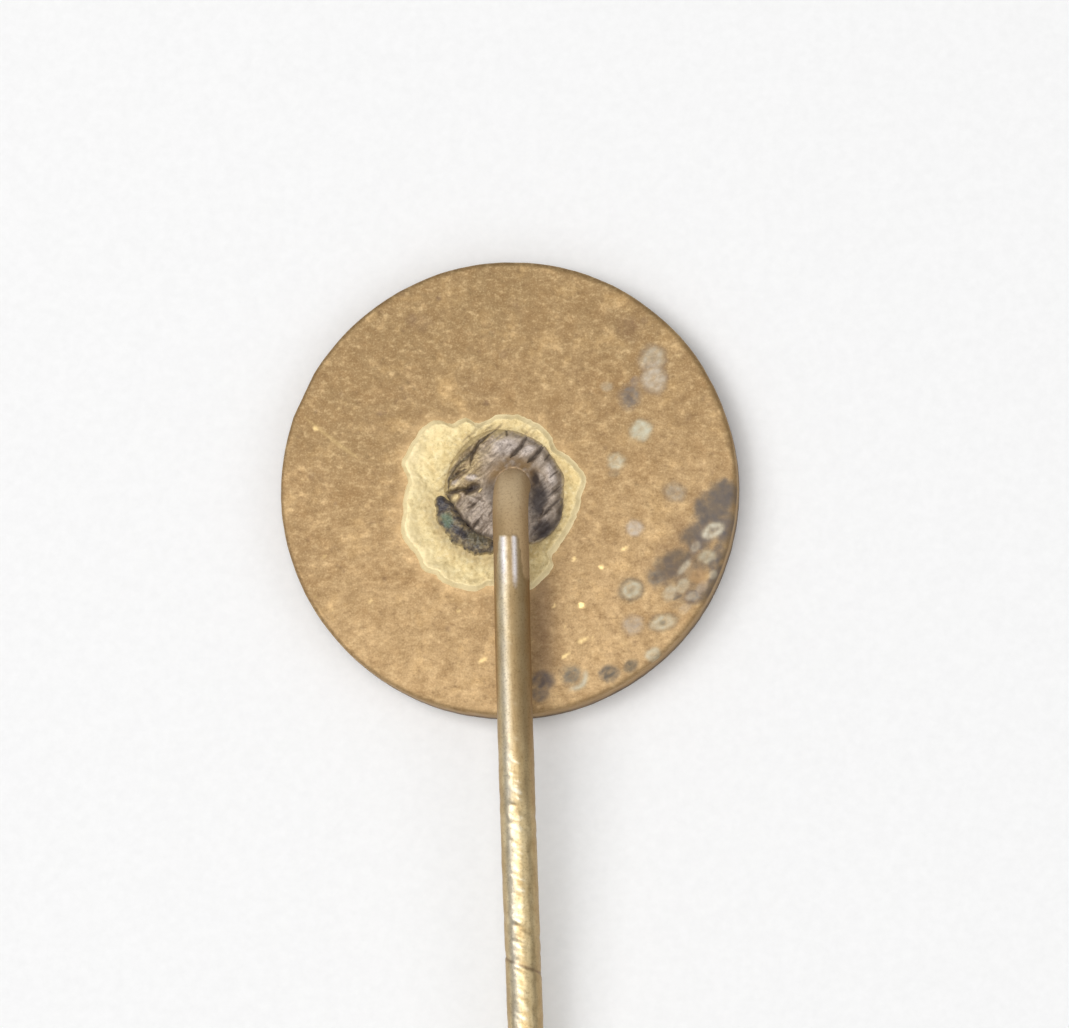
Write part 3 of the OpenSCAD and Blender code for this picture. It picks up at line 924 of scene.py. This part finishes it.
def build_crust():
    """A lumpy crust of glassy flux in the bite at the lower left of the fillet, thin at its edges."""
    start, sweep = math.radians(184), math.radians(82)
    along, across = 190, 72
    s, t = np.meshgrid(np.linspace(0, 1, along), np.arange(across) / across, indexing="ij")
    s, phi = s.ravel(), t.ravel() * TAU
    a = start + sweep * s
    ends = np.sqrt(np.clip(1 - np.abs(2 * s - 1) ** 5, 0.0004, 1))
    arc = flat_points(np.cos(a), np.sin(a)) * FILLET_R
    inner = 1.33 + 0.13 * fbm(arc, 0.35, 3, 91) + 0.14 * (1 - smooth(0, 0.25, s))
    outer = 1.99 + 0.12 * fbm(arc, 0.3, 3, 92) + 0.05 * fbm(arc, 0.1, 2, 98)
    outer -= 0.08 * smooth(0.6, 1.0, s)
    r = (inner + outer) / 2 + (outer - inner) / 2 * ends * np.cos(phi)
    x, y = FILLET_AT[0] + r * np.cos(a), FILLET_AT[1] + r * np.sin(a)
    p = flat_points(x, y)
    dome = (1 - np.abs(np.cos(phi)) ** 2.4) * ends
    high = 0.17 + 0.06 * fbm(arc, 0.35, 2, 93)
    lumps = 0.09 * fbm(p, 0.24, 3, 94) + 0.035 * fbm(p, 0.09, 2, 96)
    z = POOL_Z - 0.05 + np.where(np.sin(phi) > 0, dome * (high + lumps), 0.08 * ends * np.sin(phi))
    ragged = 0.4 * fbm(p, 0.2, 3, 95)
    ink = patch(x, y, (-1.85, -0.5, 0.2, 0.3, 10), ragged)
    masks = {
        "green": patch(x, y, (-1.7, -0.95, 0.2, 0.25, 20), ragged),
        "olive": patch(x, y, (-0.9, -1.5, 0.4, 0.22, -20), ragged, 0.3),
        "ink": np.maximum(ink, patch(x, y, (-1.35, -1.3, 0.35, 0.14, -42), ragged)),
        "ash": smooth(0, 0.5, fbm(p, 0.26, 3, 97)),
        "thin": smooth(0.72, 1.0, np.cos(phi) * ends + (1 - ends) + 0.3 * fbm(p, 0.14, 3, 99)),
    }
    return np.stack([x, y, z], 1), tube_faces(along, across), clipped(masks)


def crust_material():
    n = Nodes("flux_glass")
    fine = n.noise(0.07, 3, 0.6, 31)
    mid = n.noise(0.2, 3, 0.6, 32)
    n.colour = n.ramp(mid, (0.36, (70, 66, 66)), (0.5, (112, 100, 84)), (0.64, (156, 138, 104)))
    n.coat("ash", 0.5, (150, 136, 106))
    n.coat("olive", 0.6, (104, 98, 74))
    n.coat("ink", 0.75, (58, 56, 66))
    n.coat("green", 0.75, (112, 134, 112))
    n.coat("thin", 0.8, (196, 174, 124))
    n.mottle(fine, 0.45, 0.25, 0.6, (44, 42, 48))
    n.mottle(fine, 0.58, 0.78, 0.5, (168, 160, 138))
    rough = n.remap(mid, 0.3, 0.7, 0.3, 0.55)
    n.bump(fine, 0.6, 0.02)
    return n.surface(rough, 0.05)


# ---- wire

# Cuts and flats left by the tool: (distance along, half length, depth), and the one whose cut is painted dark
# as shade
TOOL_MARKS = (
    (8.55, 0.12, 0.022), (9.05, 0.08, 0.014), (11.9, 0.1, 0.018), (12.35, 0.07, 0.012), (12.85, 0.08, 0.016),
    (12.95, 0.05, 0.02), (15.4, 0.06, 0.016), (17.8, 0.07, 0.018), (21.3, 0.05, 0.016),
)
NICK_AT = 12.95
# How far a slanting mark runs on while it goes once round, and at the top of the wire
SLANT, SLANT_AT_TOP = 1.1, 1.55


def wire_path():
    """Points and directions along the wire, from its foot over the bend to the tip."""
    straight = POST_L - BEND_R
    centre = FOOT + POST_DIR * straight + SHANK_DIR * BEND_R
    bend_end = CORNER + SHANK_DIR * BEND_R
    places, directions = [], []
    for s in np.arange(0, straight + 0.05, 0.05):
        places.append(FOOT - POST_DIR * 0.05 + POST_DIR * s)
        directions.append(POST_DIR)
    for a in np.linspace(0.02, math.pi / 2, 48):
        places.append(centre - SHANK_DIR * BEND_R * math.cos(a) + POST_DIR * BEND_R * math.sin(a))
        directions.append(POST_DIR * math.cos(a) + SHANK_DIR * math.sin(a))
    shank_l = BARREL_L + POINT_L
    for s in [*np.arange(0.04, 17.0, 0.045), *np.arange(17.0, shank_l - 0.05, 0.09), shank_l - 0.03]:
        places.append(bend_end + SHANK_DIR * s)
        directions.append(SHANK_DIR)
    return np.array(places), np.array(directions)


def build_wire():
    places, directions = wire_path()
    rows, around = len(places), 72
    i, j = (k.ravel() for k in np.meshgrid(np.arange(rows), np.arange(around), indexing="ij"))
    # phi is 0 on the SIDE of the wire and a quarter turn on top of it
    phi = j * TAU / around
    run = np.concatenate([[0], np.cumsum(np.linalg.norm(np.diff(places, axis=0), axis=1))])[i]
    along = ((places - CORNER) @ SHANK_DIR)[i]
    point_from = BARREL_L + BEND_R
    taper = np.clip((along - point_from) / POINT_L, 0, 1)
    r = np.where(along > point_from + POINT_L - 0.06, 0.04, WIRE_R * (1 - taper * 0.9))
    skin = np.stack([np.cos(phi) * WIRE_R, np.sin(phi) * WIRE_R, run], 1)
    # long drawing lines, soft dents, then slanting hand-worked facets on the lower part
    lines = 0.003 * fbm(skin * [1, 1, 0.04], 0.12, 3, 101)
    dents = 0.009 * fbm(skin * [1, 1, 0.5], 0.6, 2, 102)
    slant = run - phi / TAU * SLANT
    slanted = np.stack([skin[:, 0], skin[:, 1], slant], 1)
    facets = 0.013 * fbm(slanted * [1, 1, 0.9], 0.45, 2, 103)
    facets += 0.006 * fbm(slanted * [1, 1, 2.5], 0.3, 3, 104)
    worked = smooth(6.2, 7.8, along) * (1 - taper)
    r = r + (lines + dents + facets * worked) * np.where(along > point_from, 1 - taper, 1)
    # close-set slanting ticks along the top; their crests are painted pale as glints and their troughs dark
    # as shade
    hatch = np.stack([np.cos(phi) * 0.16, np.sin(phi) * 0.16, slant], 1)
    ticks = fbm(hatch, 0.15, 2, 108) * smooth(2.5, 4.0, along) * (1 - taper)
    ticks *= bell(np.cos(phi) * EAST + 0.05, 0.38) * (np.sin(phi) > 0)
    ticks *= 0.3 + 0.7 * smooth(7.0, 8.6, along)
    r = r + 0.014 * ticks
    for at, half, deep in TOOL_MARKS:
        r = r - deep * bell(slant - at - SLANT_AT_TOP, half) * (along < point_from)
    sway = 0.03 * np.sin(along / 4.1) * smooth(1.5, 4, along) * (1 - smooth(24, 31, along))
    centre = places[i] + SIDE * sway[:, None]
    outward = SIDE * np.cos(phi)[:, None] + np.cross(SIDE, directions)[i] * np.sin(phi)[:, None]
    points = centre + outward * r[:, None]

    # the heat of soldering baked the bend; the right side and the middle of the top are painted with shade,
    # and the crest of the bend is painted paler as a highlight
    side = (points - centre) @ SIDE / WIRE_R
    east = side * EAST
    behind = (centre - points) @ SHANK_DIR / WIRE_R
    ragged = 0.35 * fbm(skin, 0.25, 3, 106)
    baked = 1 - smooth(1.43, 1.53, along + ragged * 0.4 - 1.2 * smooth(0.5, 0.85, np.abs(east + 0.06)))
    past_heat = smooth(1.46, 1.56, along + 0.3 * ragged)
    # painted shade: the right side and the middle of the top are painted darker, less so further down the
    # wire
    scorch = smooth(-0.5, 0.0, east + 0.3 * ragged)
    scorch *= 0.9 - 0.3 * smooth(6.8, 8.0, along + ragged) - 0.35 * smooth(8.6, 9.6, along + ragged)
    # painted reflections: two pale lanes just below the bend
    lanes = bell(east + 0.38, 0.15) + bell(east - 0.26, 0.12)
    # painted highlight: a near-white stripe on the left of the top of the wire, below the bend
    worn = bell(east + 0.42, 0.24) * past_heat * (0.8 + 0.2 * smooth(5.0, 8.5, along))
    # painted shade: both sides of the wire, and the back of the baked bend, are painted darker
    flanks = smooth(0.6 - 0.2 * baked, 0.92, np.abs(side) + 0.3 * ragged)
    masks = {
        "baked": baked,
        "crest": baked * (1 - smooth(0.5, 1.2, along)),
        "scorch": scorch,
        "frost": lanes * past_heat * (1 - smooth(2.3, 3.0, along + ragged)),
        "worn": worn * (0.8 + 0.5 * fbm(skin * [1, 1, 0.5], 0.3, 3, 107)),
        "tarnish": 1 - smooth(5.0, 8.5, along + ragged),
        "grime": smooth(0, 0.7, fbm(skin * [1, 1, 0.35], 0.45, 3, 105)),
        "ticks": smooth(0.05, 0.4, ticks),
        "gaps": smooth(0.05, 0.4, -ticks),
        "nick": bell(slant - NICK_AT - SLANT_AT_TOP, 0.05),
        "flanks": np.maximum(flanks, 0.7 * smooth(0.7, 0.98, behind + 0.3 * ragged) * baked),
    }
    return points, tube_faces(rows, around), clipped(masks)


def wire_material():
    n = Nodes("worn_brass_wire")
    fine = n.noise(0.05, 2, 0.5, 41, stretch=(1, 5, 1))
    mid = n.noise(0.3, 3, 0.55, 42, stretch=(1, 2, 1))
    grain = n.noise(0.06, 3, 0.6, 43)
    n.colour = n.mix(n.remap(mid, 0.35, 0.7), (232, 212, 166), (206, 182, 134))
    n.coat("grime", 0.4, (158, 134, 92))
    n.coat("tarnish", 0.25, (160, 136, 98))
    # painted shade on the right side and the middle of the top
    n.coat("scorch", 0.8, (138, 112, 76))
    # painted highlight: the near-white stripe on the left of the top
    n.coat("worn", 0.85, (238, 230, 212))
    # painted glints on the tick crests and painted shade in their troughs
    n.coat("ticks", 0.6, (250, 242, 218))
    n.coat("gaps", 0.6, (162, 134, 90))
    # painted reflections: the two pale lanes below the bend
    n.coat("frost", 0.85, (232, 228, 230))
    # on the baked bend the side mask instead runs from darker on the left to paler on the right
    heated = n.mix(n.mask("scorch"), (156, 130, 92), (182, 155, 116))
    n.coat("baked", 0.97, heated)
    # painted highlight: the paler crest of the bend
    n.coat("crest", 0.9, (190, 166, 130))
    # painted shade on both sides and on the back of the bend
    n.coat("flanks", 0.5, (146, 112, 68))
    n.mottle(grain, 0.5, 0.25, 0.45, (108, 86, 54))
    # painted shade in that tool cut
    n.coat("nick", 0.6, (96, 66, 46))
    rough = n.math("ADD", n.remap(fine, 0.3, 0.7, 0.32, 0.44), n.mask("baked", 0.45))
    rough = n.math("ADD", rough, n.mask("scorch", 0.12))
    rough = n.math("ADD", rough, n.mask("tarnish", 0.08))
    n.bump(fine, 0.25, 0.006)
    n.bump(grain, 0.25, 0.008)
    metal = n.math("SUBTRACT", 0.9, n.mask("baked", 0.86))
    return n.surface(rough, metal)


# ---- build


make_piece("head", *build_head(), head_material(), "head_disc", "head_brass")
make_piece("pool", *build_pool(), pool_material(), "solder_pool", "solder_bright")
make_piece("fillet", *build_fillet(), fillet_material(), "solder_fillet", "solder_oxidised")
make_piece("crust", *build_crust(), crust_material(), "flux_crust", "flux_glass")
make_piece("wire", *build_wire(), wire_material(), "pin_wire", "wire_brass")

# ---- paper and light


def add_paper():
    half, z = 0.6, -0.01 * MM
    mesh = bpy.data.meshes.new("paper")
    corners = [(-half, -half, z), (half, -half, z), (half, half, z), (-half, half, z)]
    mesh.from_pydata(corners, [], [range(4)])
    n = Nodes("white_paper")
    fibre = n.noise(0.25, 4, 0.6, 51)
    n.colour = n.mix(n.remap(fibre, 0.3, 0.7), (243.4, 243.4, 243.4), (247.6, 247.6, 247.6))
    n.bump(fibre, 0.08, 0.02)
    mesh.materials.append(n.surface(0.9, 0.0))
    new_object("paper", mesh)


def add_light(name, azimuth, from_top, distance, width, height, energy):
    """A soft box aimed at the head, with azimuth anticlockwise from +X and from_top from the zenith."""
    a, e = math.radians(azimuth), math.radians(from_top)
    toward = Vector((math.cos(a) * math.sin(e), math.sin(a) * math.sin(e), math.cos(e)))
    data = bpy.data.lights.new(name, "AREA")
    data.shape = "RECTANGLE"
    data.size, data.size_y = width, height
    data.energy = energy
    light = new_object(name, data)
    light.location = toward * distance
    light.rotation_mode = "QUATERNION"
    light.rotation_quaternion = toward.to_track_quat("Z", "Y")


add_paper()
add_light("key", 165, 33, 0.5, 0.24, 0.28, 0.8)
add_light("top", 200, 6, 0.6, 0.42, 0.42, 1.53)
add_light("fill_right", 350, 42, 0.6, 0.40, 0.34, 0.4)
add_light("fill_front", 270, 42, 0.6, 0.40, 0.30, 0.3)

world = bpy.data.worlds.new("studio")
world.use_nodes = True
background = world.node_tree.nodes["Background"]
background.inputs["Color"].default_value = (1.0, 1.0, 1.0, 1.0)
background.inputs["Strength"].default_value = 0.28
bpy.context.scene.world = world
bpy.context.scene.view_settings.view_transform = "Standard"
